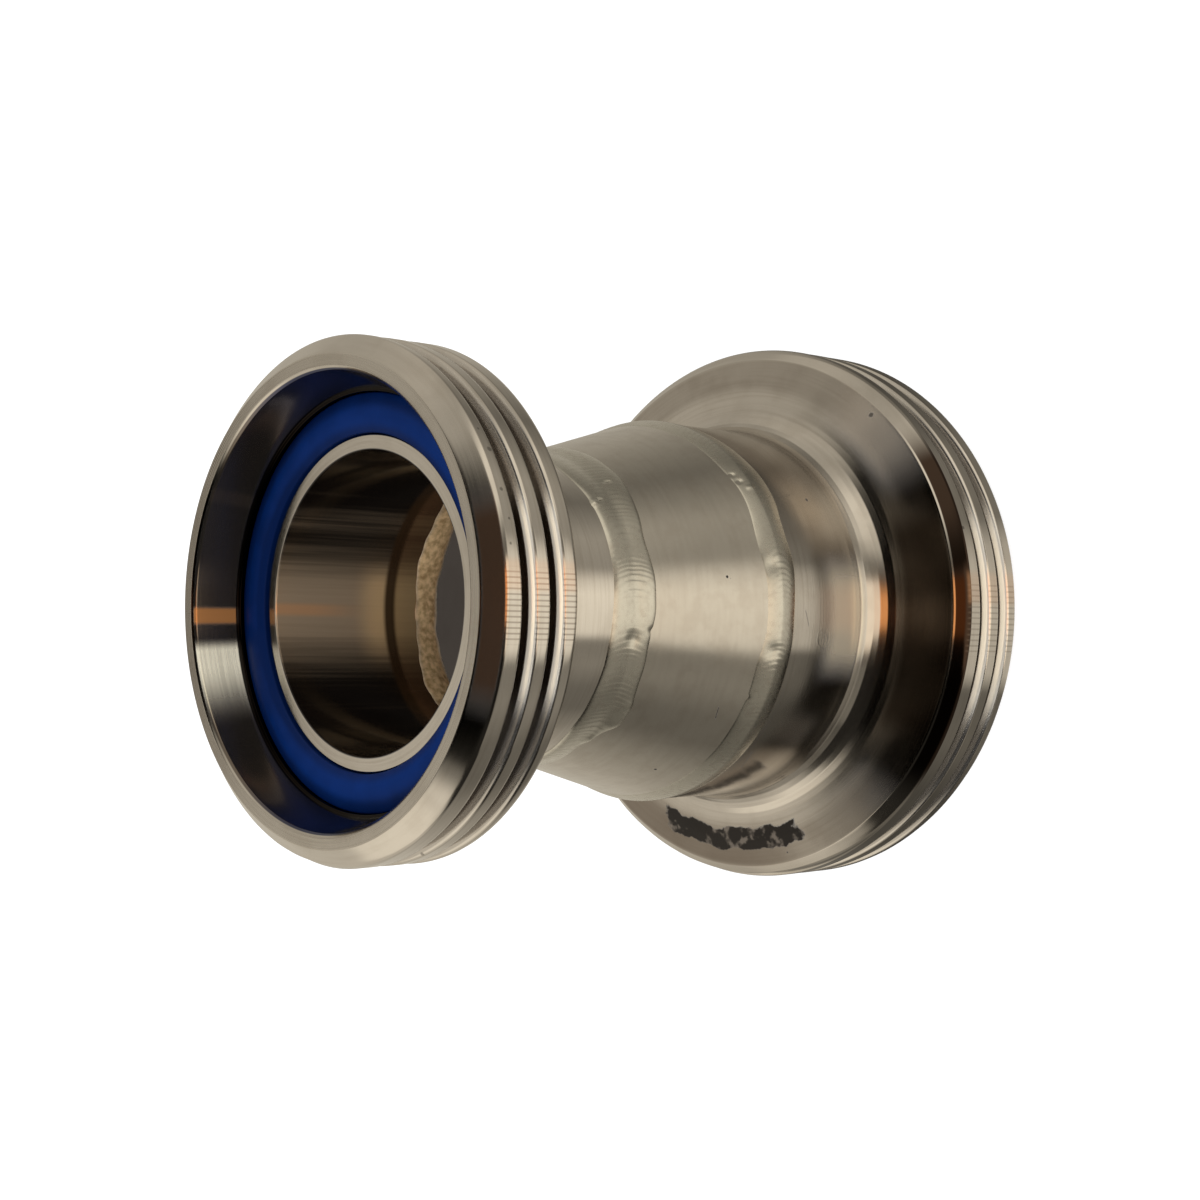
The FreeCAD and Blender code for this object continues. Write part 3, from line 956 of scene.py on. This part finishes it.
def male_outline(end):
    """The turned outline from the back of the rim, by the neck and the bore, to the nose."""
    sizes = end.sizes
    back = end.crest - sizes.back_bevel
    nose = end.crest - sizes.nose_drop
    groove_floor = sizes.seal_recess + sizes.seal_height
    seat_top = end.mouth - sizes.mouth_bevel
    seat_foot = seat_top - (sizes.seal_recess - sizes.mouth_bevel) * math.tan(sizes.seat_angle)
    neck = sizes.rim_width + (back - end.tube) * math.tan(sizes.back_slope)
    stop, start = rim_envelope(end, np.array([RIM_INSET, sizes.rim_width - RIM_INSET]))
    return rounded(
        [
            (start, sizes.rim_width - RIM_INSET, 0),
            (back, sizes.rim_width, 0.22 * MM),
            (end.tube, neck, sizes.neck_fillet),
            (end.tube, end.length - WELD_GAP, 0),
            (end.bore, end.length - WELD_GAP, 0),
            (end.bore, sizes.spigot_recess, 0.2 * MM),
            (end.spigot, sizes.spigot_recess, 0.25 * MM),
            (end.spigot, groove_floor, 0.2 * MM),
            (end.seal_wall, groove_floor, 0.2 * MM),
            (end.seal_wall, sizes.seal_recess, 0.15 * MM),
            (seat_foot, sizes.seal_recess, 0.15 * MM),
            (seat_top, sizes.mouth_bevel, 0.3 * MM),
            (end.mouth, 0.0, 0.2 * MM),
            (nose, 0.0, 0.2 * MM),
            (stop, RIM_INSET, 0),
        ]
    )


def male_part(end, material):
    """One turned end: the lathe outline spun round the axis, closed by its threaded rim."""
    outline = male_outline(end)
    rim_points, rim_faces = thread_ribbon(end)
    lathe_points = spun(outline[:, :1], outline[:, 1:], circle_angles(THREAD_COLUMNS))
    lathe_faces = ring_faces(len(outline), THREAD_COLUMNS, first=len(rim_points))
    points = end.placed(np.concatenate((rim_points, lathe_points)))
    faces = np.concatenate((rim_faces, lathe_faces))
    add_piece(end.name + "_male_part", points, faces, material)


# Seals, reducer and welds

SEAL_COLUMNS = 320
SEAL_EDGE_ROUND = 0.3 * MM
CONE_COLUMNS = 384


def lathe_piece(name, outline, columns, material, end=None):
    """A closed outline spun round the axis."""
    points = spun(outline[:, :1], outline[:, 1:], circle_angles(columns))
    if end:
        points = end.placed(points)
    add_piece(name, points, ring_faces(len(outline), columns, closed=True), material)


def seal_ring(end, material):
    """The rubber joint ring: an arched front on straight sides."""
    sizes = end.sizes
    middle = (end.seal_inner + end.seal_outer) / 2
    half = sizes.seal_width / 2
    shoulder = sizes.seal_recess + sizes.seal_crown
    floor = sizes.seal_recess + sizes.seal_height
    arch = half**2 / (2 * sizes.seal_crown) + sizes.seal_crown / 2
    reach = math.asin(half / arch)
    crown = [
        (middle + arch * math.sin(turn), sizes.seal_recess + arch * (1 - math.cos(turn)))
        for turn in np.linspace(-reach, reach, 25)
    ]
    skirt = rounded(
        [
            (end.seal_outer, shoulder, 0),
            (end.seal_outer, floor, SEAL_EDGE_ROUND),
            (end.seal_inner, floor, SEAL_EDGE_ROUND),
            (end.seal_inner, shoulder, 0),
        ]
    )
    outline = np.concatenate((np.array(crown), skirt[1:-1]))
    lathe_piece(end.name + "_seal_ring", outline, SEAL_COLUMNS, material, end)


class Cone:
    """The reducer's radii, which taper from weld centre to weld centre."""

    def __init__(self, small, large):
        self.foot = large.weld_centre
        self.top = small.weld_centre
        self.small = small
        self.large = large

    def part(self, height):
        """How far up the cone a height is, from 0 to 1."""
        return (height - self.foot) / (self.top - self.foot)

    def outside(self, height):
        return self.large.tube + (self.small.tube - self.large.tube) * self.part(height)

    def inside(self, height):
        return self.large.bore + (self.small.bore - self.large.bore) * self.part(height)


def reducer(cone, material):
    """The pressed cone between the welds."""
    low = cone.foot + WELD_GAP
    high = cone.top - WELD_GAP
    outline = rounded(
        [
            (cone.outside(low), low, 0),
            (cone.outside(high), high, 0),
            (cone.inside(high), high, 0),
            (cone.inside(low), low, 0),
            (cone.outside(low), low, 0),
        ]
    )[:-1]
    lathe_piece("reducer", outline, CONE_COLUMNS, material)


WELD_COLUMNS = 1200
CAP_ROWS = 26
ROOT_ROWS = 10
# The bead's edges lie this far under the steel beside them
WELD_SINK = 0.05 * MM
# The undercut beside a bead's edge: its depth, how far in it lies and its reach
UNDERCUT = 0.05 * MM
UNDERCUT_PLACE = 0.12 * MM
UNDERCUT_REACH = 0.1 * MM
# How far the crescents bow, in crescents
CRESCENT_BOW = 1.3
# The root lies this far from the weld's middle, away from the cone
ROOT_SHIFT = 1.1 * MM
ROOT_FULLNESS = 0.8


class Bead:
    """How a weld was laid.

    An edge is a list of places round the axis, in degrees, and how far out the edge lies there, in
    millimetres. A hollow is an angle, a height, a radius and a depth; a lump has a depth below 0.
    """

    def __init__(self, cap, fullness, ripple_width, tube_edge, cone_edge, hollows):
        self.cap = cap * MM
        self.fullness = fullness
        self.ripple_width = ripple_width
        self.tube_edge = tube_edge
        self.cone_edge = cone_edge
        self.hollows = hollows


BEADS = {
    "small": Bead(
        cap=0.50,
        fullness=4.0,
        ripple_width=0.92,
        tube_edge=[
            (-150, -0.2), (-110, 0.1), (-69, -0.2), (-50, 0.6), (-32, 0.6), (-13, 0.5), (0, 0.3),
            (14, 0.0), (38, -0.2), (55, 0.7), (90, 0.3), (140, -0.3),
        ],
        cone_edge=[
            (-150, 0.3), (-110, -0.6), (-80, -2.2), (-61, -2.9), (-52, -1.8), (-45, 0.0), (-29, -0.7),
            (-13, -1.0), (-6, -0.4), (7, -0.2), (21, -0.7), (49, 0.8), (90, 0.4),
        ],
        hollows=[
            (-13, 57.3, 0.9, 0.16), (-10, 54.6, 0.5, 0.12), (-7, 57.6, 1.0, -0.05),
            (37, 59.9, 0.45, -0.25), (38.5, 58.7, 0.22, 0.35), (47, 55.5, 0.25, 0.3),
            (-47, 54.6, 1.1, -0.22), (-56, 56.6, 0.9, -0.2), (-38, 54.3, 0.9, -0.16),
            (120, 57, 0.8, 0.14), (-150, 56, 0.9, 0.12),
        ],
    ),
    "large": Bead(
        cap=0.26,
        fullness=2.4,
        ripple_width=0.66,
        tube_edge=[
            (-150, 0.2), (-90, 0.0), (-29, 0.2), (-13, 0.3), (-1, 0.3), (12, 0.8), (22, 0.2),
            (32, 1.3), (41, 1.4), (70, 0.3), (140, -0.3),
        ],
        cone_edge=[
            (-150, -0.2), (-90, 0.3), (-27, 0.2), (-15, 0.2), (-11, -0.5), (6, -0.5), (18, 0.0),
            (33, -0.7), (45, 0.0), (90, 0.4), (140, 0.1),
        ],
        hollows=[
            (10.6, 36.7, 1.0, 0.14), (-13.5, 36.6, 1.0, 0.16), (35.4, 36.2, 0.35, -0.16),
            (38.2, 37.2, 0.3, 0.25), (41, 37.6, 0.3, 0.22), (-28, 38.6, 0.35, 0.12),
            (110, 36, 0.9, 0.12), (170, 36.4, 0.8, 0.12),
        ],
    ),
}


def wander(degrees, seed, size):
    """An uneven line round the axis: a few waves of chance phase."""
    dice = random.Random(seed)
    total = np.zeros_like(degrees)
    for waves in (5, 8, 13, 21, 34):
        phase = dice.uniform(0, 2 * math.pi)
        total += math.sqrt(5 / waves) * np.sin(waves * np.radians(degrees) + phase)
    return total * size / 2


def edge_line(degrees, places, seed):
    """How far out a bead's edge lies all round, from its listed points and a fine tremble."""
    angles, offsets = zip(*places)
    line = np.interp(degrees, angles, np.array(offsets) * MM, period=360)
    reach = len(degrees) // 90
    wrapped = np.concatenate((line[-reach:], line, line[:reach]))
    smooth = np.convolve(wrapped, np.ones(2 * reach + 1) / (2 * reach + 1), "valid")
    return smooth + wander(degrees, seed, 0.07 * MM)


def hollows(bead, degrees, heights, radius):
    """How deep the bead's pits and craters lie; its lumps count as less than 0."""
    total = np.zeros(np.broadcast(degrees, heights).shape)
    for angle_there, height, size, depth in bead.hollows:
        turn = (degrees - angle_there + 180) % 360 - 180
        aside = np.radians(turn) * radius
        far = (aside**2 + (heights - height * MM) ** 2) / (size * MM) ** 2
        total += depth * MM * np.exp(-far)
    return total


def weld_cap(end, cone, angles, seed):
    """Radii and heights of the bead outside: wandering edges, and crescents along its cap."""
    sizes = end.sizes
    bead = BEADS[end.name]
    degrees = np.degrees(angles) + 90
    half = end.weld_width / 2
    to_tube = half + edge_line(degrees, bead.tube_edge, seed)
    to_cone = half + edge_line(degrees, bead.cone_edge, seed + 1)
    tube_edge = end.weld_centre - end.cone_side * to_tube
    cone_edge = end.weld_centre + end.cone_side * to_cone
    across = np.sin(np.linspace(-math.pi / 2, math.pi / 2, CAP_ROWS))[:, None]
    heights = (tube_edge + cone_edge) / 2 + (cone_edge - tube_edge) / 2 * across
    on_cone = (heights - end.weld_centre) * end.cone_side > 0
    ground = np.where(on_cone, cone.outside(heights), end.tube) - WELD_SINK
    arch = bead.cap * (1 - np.abs(across) ** bead.fullness)
    past_undercut = (1 - np.abs(across)) * half - UNDERCUT_PLACE
    undercut = UNDERCUT * np.exp(-((past_undercut / UNDERCUT_REACH) ** 2))
    in_ripple = np.clip(across / bead.ripple_width, -1, 1)
    travel = angles * end.tube / sizes.ripple_pitch + wander(degrees, seed + 2, 0.9)
    crescent = (travel - CRESCENT_BOW * (1 - in_ripple**2)) % 1.0
    strength = 1 + wander(degrees, seed + 5, 0.7)
    ripple = sizes.ripple_height * (1 - in_ripple**4) * (crescent**1.5 - 0.4) * strength
    radii = ground + arch + ripple - undercut - hollows(bead, degrees, heights, end.tube)
    return radii, heights


def weld_root(end, cone, angles, seed):
    """Radii and heights of the bead's uneven root in the bore."""
    degrees = np.degrees(angles) + 90
    across = np.linspace(1, -1, ROOT_ROWS)[:, None]
    half = end.sizes.weld_root_width / 2 + wander(degrees, seed + 3, 0.25 * MM)
    shift = ROOT_SHIFT + wander(degrees, seed + 6, 0.2 * MM)
    heights = end.weld_centre + end.cone_side * (across * half - shift)
    past = np.maximum((heights - end.weld_centre) * end.cone_side, 0)
    bore = cone.inside(end.weld_centre + end.cone_side * past)
    lumps = 1 + wander(degrees, seed + 4, 0.35)
    rise = (1 - across**2) * end.sizes.weld_root * ROOT_FULLNESS * lumps
    return bore + WELD_SINK - rise, heights


def weld(end, cone, material, seed):
    """A butt weld laid by hand, its cap outside and its root in the bore."""
    angles = circle_angles(WELD_COLUMNS)
    cap = weld_cap(end, cone, angles, seed)
    root = weld_root(end, cone, angles, seed)
    radii, heights = (np.concatenate(both) for both in zip(cap, root))
    faces = ring_faces(*radii.shape, closed=True)
    add_piece(end.name + "_weld", spun(radii, heights, angles), faces, material)


# Stage

CAMERA_PLACE = Vector((-10.756, -176.463, 219.247)) * MM
CAMERA_TILT = math.radians(50.72)
CAMERA_ROLL = math.radians(-90.63)
CAMERA_LENS = 53.78
CAMERA_SHIFT = (0.15, 0.075)
LAMP_AIM = Vector((0.0, 0.0, 0.05))
FLOOR_HALF = 6.0
TENT_RADIUS = 0.9
TENT_LIFT = 0.4 * MM
TENT_COLUMNS = 96
TENT_EYE = Vector((0.0, -12.0, 50.0)) * MM


def add_camera():
    data = bpy.data.cameras.new("camera")
    data.lens = CAMERA_LENS
    data.sensor_width = 36.0
    data.shift_x, data.shift_y = CAMERA_SHIFT
    data.clip_start = 0.01
    data.clip_end = 50.0
    camera = bpy.data.objects.new("camera", data)
    turn = Matrix.Rotation(CAMERA_TILT, 4, "X") @ Matrix.Rotation(CAMERA_ROLL, 4, "Z")
    camera.matrix_world = Matrix.Translation(CAMERA_PLACE) @ turn
    bpy.context.scene.collection.objects.link(camera)
    bpy.context.scene.camera = camera


def seen_directly(paint):
    """1 for camera, glossy and transmission rays, which see the white background."""
    kinds = ("Is Camera Ray", "Is Glossy Ray", "Is Transmission Ray")
    camera, glossy, through = (
        paint.node("ShaderNodeLightPath", output=kind) for kind in kinds
    )
    return camera.most(glossy).most(through)


def add_floor():
    """A pale floor that shows as white and keeps the coupling's shadow."""
    paint = Paint("floor_white")
    glow = paint.node("ShaderNodeEmission", inputs={"Color": (1, 1, 1, 1), "Strength": 0.8})
    faint = paint.node("ShaderNodeBsdfDiffuse", inputs={"Color": (0.3, 0.3, 0.3, 1)})
    bright = paint.node("ShaderNodeAddShader", inputs={0: glow, 1: faint})
    plain = paint.node("ShaderNodeBsdfDiffuse", inputs={"Color": (0.8, 0.8, 0.8, 1)})
    inputs = {0: seen_directly(paint), 1: plain, 2: bright}
    material = paint.finish(paint.node("ShaderNodeMixShader", inputs=inputs))
    corners = [(-1, -1), (1, -1), (1, 1), (-1, 1)]
    points = [(x * FLOOR_HALF, y * FLOOR_HALF, 0.0) for x, y in corners]
    floor = add_object("floor", points, [(0, 1, 2, 3)], material)


def set_world():
    """A plain soft sky, white where it is seen."""
    world = bpy.data.worlds.new("studio")
    bpy.context.scene.world = world
    world.use_nodes = True
    paint = Paint("studio", world.node_tree)
    strength = 0.7 + seen_directly(paint) * 0.3
    sky = paint.node("ShaderNodeBackground", inputs={"Color": (1, 1, 1, 1), "Strength": strength})
    paint.node("ShaderNodeOutputWorld", inputs={"Surface": sky})


def add_lamp(name, place, power, size):
    """A soft square lamp that shines at the coupling."""
    data = bpy.data.lights.new(name, "AREA")
    data.energy = power
    data.size = size
    lamp = bpy.data.objects.new(name, data)
    turn = (LAMP_AIM - Vector(place)).to_track_quat("-Z", "Y").to_matrix().to_4x4()
    lamp.matrix_world = Matrix.Translation(place) @ turn
    lamp.visible_glossy = False
    bpy.context.scene.collection.objects.link(lamp)


# The tent's colours
WARM_GREY = (1.0, 0.92, 0.77)
WINDOW = (1.32, 1.12, 0.88)
ORANGE = (1.20, 0.50, 0.17)
OVERHEAD = (0.15, 0.06, 0.03)
DARK_BACK = (0.11, 0.092, 0.074)
UNDERLAY = (0.30, 0.26, 0.22)
# How far the underlay reaches from the axis, and its soft edge
UNDERLAY_EDGE = (31 * MM, 35 * MM)
# How light the cloth is at a bearing round the part, in degrees. Low cloth lies on the floor.
LOW_CLOTH = [
    (-180, 0.60), (-130, 0.60), (-100, 0.38), (-80, 0.19), (-62, 0.20), (-44, 0.33), (-27, 0.28),
    (-21, 1.05), (8, 1.18), (18, 0.95), (27, 0.40), (50, 0.46), (64, 0.32), (80, 0.20), (96, 0.30),
    (120, 0.46), (180, 0.55),
]
SIDE_CLOTH = [
    (-180, 0.66), (-140, 0.70), (-102, 0.73), (-92, 0.42), (-84, 0.03), (-24, 0.01), (18, 0.14),
    (25, 0.30), (37, 0.95), (56, 1.02), (72, 0.56), (84, 0.50), (102, 0.62), (130, 0.50),
    (180, 0.62),
]
# Light fringes: bearing and rise, each from, to and its soft edge, in degrees; then how light
FRINGES = [
    ((-56, -28, 4), (-90, -2, 12), 0.22),
    ((-92, -82, 5), (36, 44, 4), 0.22),
    ((-128, -90, 8), (16, 38, 5), 0.35),
]


def cloth_level(paint, bearing, cloth):
    """How light a cloth is at a bearing."""
    stops = [(place / 360 + 0.5, (shade,) * 3) for place, shade in cloth]
    return paint.node("ShaderNodeValToRGB", {"stops": stops}, {"Fac": bearing / 360 + 0.5})


def tent_paint():
    """The studio tent: grey cloth, a cream window, a black flag, an orange lamp and a dark top.

    Each is painted by its bearing round the part and its rise above it, in degrees.
    """
    paint = Paint("tent_cloth")
    spot = paint.node("ShaderNodeTexCoord", output="Object")
    inputs = {0: spot, 1: tuple(TENT_EYE)}
    from_eye = paint.node("ShaderNodeVectorMath", {"operation": "SUBTRACT"}, inputs)
    ray = paint.node("ShaderNodeVectorMath", {"operation": "NORMALIZE"}, {0: from_eye})
    x, y, z = paint.parts(ray)
    bearing = x.maths("ARCTAN2", x, -y) * math.degrees(1)
    behind = x.maths("ARCTAN2", -x, y) * math.degrees(1)
    rise = z.maths("ARCSINE", z) * math.degrees(1)

    near = 0.62 - abs(bearing).towards(25, 60) * 0.16
    low = cloth_level(paint, bearing, LOW_CLOTH) * (near + (1 - near) * rise.towards(-48, -36))
    start = 38 + abs(bearing).towards(60, 120) * 9
    side = cloth_level(paint, bearing, SIDE_CLOTH) * (1 - rise.towards(start, start + 14))
    for bearings, rises, light in FRINGES:
        side = side + bearing.within(*bearings) * rise.within(*rises) * light
    level = low + (side - low) * rise.towards(-14, -3)
    cloth = paint.mix(1.0, WARM_GREY, level, "MULTIPLY")

    left = -22 + rise.towards(8, 34) * 12
    window = bearing.towards(left, left + 4) * (1 - bearing.towards(13, 17))
    window = window * rise.towards(-14, -6) * (1 - rise.towards(24, 34))
    cloth = paint.mix(window, cloth, WINDOW)
    lamp = bearing.within(-8, 11, 3) * rise.within(29, 47, 5)
    cloth = paint.mix(lamp, cloth, ORANGE)
    overhead = (1 - abs(x).towards(0.01, 0.07)) * rise.towards(64, 72)
    cloth = paint.mix(overhead, cloth, OVERHEAD)
    dark_back = behind.within(-13, 5, 4) * rise.within(8, 33.5, 4)
    cloth = paint.mix(dark_back, cloth, DARK_BACK)

    x, y, z = paint.parts(spot)
    under = 1 - ((x * x + y * y + z * z) ** 0.5).towards(*UNDERLAY_EDGE)
    cloth = paint.mix(under, cloth, UNDERLAY)
    return paint.finish(paint.node("ShaderNodeEmission", inputs={"Color": cloth, "Strength": 1.0}))


def add_tent():
    """Cloth round and below the coupling, seen only in its reflections."""
    rise = np.radians(np.concatenate(([0.0], np.linspace(0, 90, 25)[:-1], [89.9])))
    rings = TENT_RADIUS * np.cos(rise)
    rings[0] = 0.1 * MM
    heights = TENT_RADIUS * np.sin(rise) + TENT_LIFT
    points = spun(rings[:, None], heights[:, None], circle_angles(TENT_COLUMNS))
    faces = ring_faces(len(rings), TENT_COLUMNS)
    tent = add_object("tent", points.tolist(), faces.tolist(), tent_paint())
    for rays in ("camera", "diffuse", "shadow", "transmission"):
        setattr(tent, "visible_" + rays, False)


# Operators


def both_ends():
    return [End(name, coupling().sizes) for name in ENDS]


class COUPLING_OT_stage(bpy.types.Operator):
    """Sets the camera, the floor, the sky, the lamps and the tent"""

    bl_idname = "coupling.stage"
    bl_label = "Stage"

    def execute(self, context):
        context.scene.view_settings.view_transform = "Standard"
        add_camera()
        add_floor()
        set_world()
        add_lamp("key_lamp", (-0.25, -0.45, 0.65), 5.0, 0.5)
        add_lamp("fill_lamp", (0.5, 0.1, 0.5), 3.0, 0.6)
        add_tent()
        return {"FINISHED"}


class COUPLING_OT_male_parts(bpy.types.Operator):
    """Turns the two threaded ends"""

    bl_idname = "coupling.male_parts"
    bl_label = "Threaded ends"

    def execute(self, context):
        for end in both_ends():
            male_part(end, turned_steel(end))
        return {"FINISHED"}


class COUPLING_OT_seal_rings(bpy.types.Operator):
    """Lays the two rubber joint rings in their grooves"""

    bl_idname = "coupling.seal_rings"
    bl_label = "Seal rings"

    def execute(self, context):
        for end in both_ends():
            seal_ring(end, seal_rubber(end))
        return {"FINISHED"}


class COUPLING_OT_reducer(bpy.types.Operator):
    """Presses the cone between the welds"""

    bl_idname = "coupling.reducer"
    bl_label = "Reducer"

    def execute(self, context):
        cone = Cone(*both_ends())
        reducer(cone, pressed_steel(cone))
        return {"FINISHED"}


class COUPLING_OT_welds(bpy.types.Operator):
    """Lays the two butt welds"""

    bl_idname = "coupling.welds"
    bl_label = "Welds"

    def execute(self, context):
        cone = Cone(*both_ends())
        weld(cone.small, cone, weld_metal(cone.small), seed=10)
        weld(cone.large, cone, weld_metal(cone.large), seed=20)
        return {"FINISHED"}


class COUPLING_PT_panel(bpy.types.Panel):
    """Lists the coupling's pieces"""

    bl_label = "Reducing coupling"
    bl_idname = "COUPLING_PT_panel"
    bl_space_type = "VIEW_3D"
    bl_region_type = "UI"
    bl_category = "Coupling"

    def draw(self, context):
        for operator in OPERATORS:
            self.layout.operator(operator.bl_idname)


OPERATORS = (
    COUPLING_OT_stage,
    COUPLING_OT_male_parts,
    COUPLING_OT_seal_rings,
    COUPLING_OT_reducer,
    COUPLING_OT_welds,
)
CLASSES = (CouplingSizes, CouplingFinish, CouplingSettings, *OPERATORS, COUPLING_PT_panel)


def register():
    for item in CLASSES:
        bpy.utils.register_class(item)
    bpy.types.Scene.coupling = PointerProperty(type=CouplingSettings)


def unregister():
    del bpy.types.Scene.coupling
    for item in reversed(CLASSES):
        bpy.utils.unregister_class(item)


def main():
    register()
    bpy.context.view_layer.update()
    bpy.ops.coupling.stage()
    bpy.ops.coupling.male_parts()
    bpy.ops.coupling.seal_rings()
    bpy.ops.coupling.reducer()
    bpy.ops.coupling.welds()


if __name__ == "__main__":
    main()
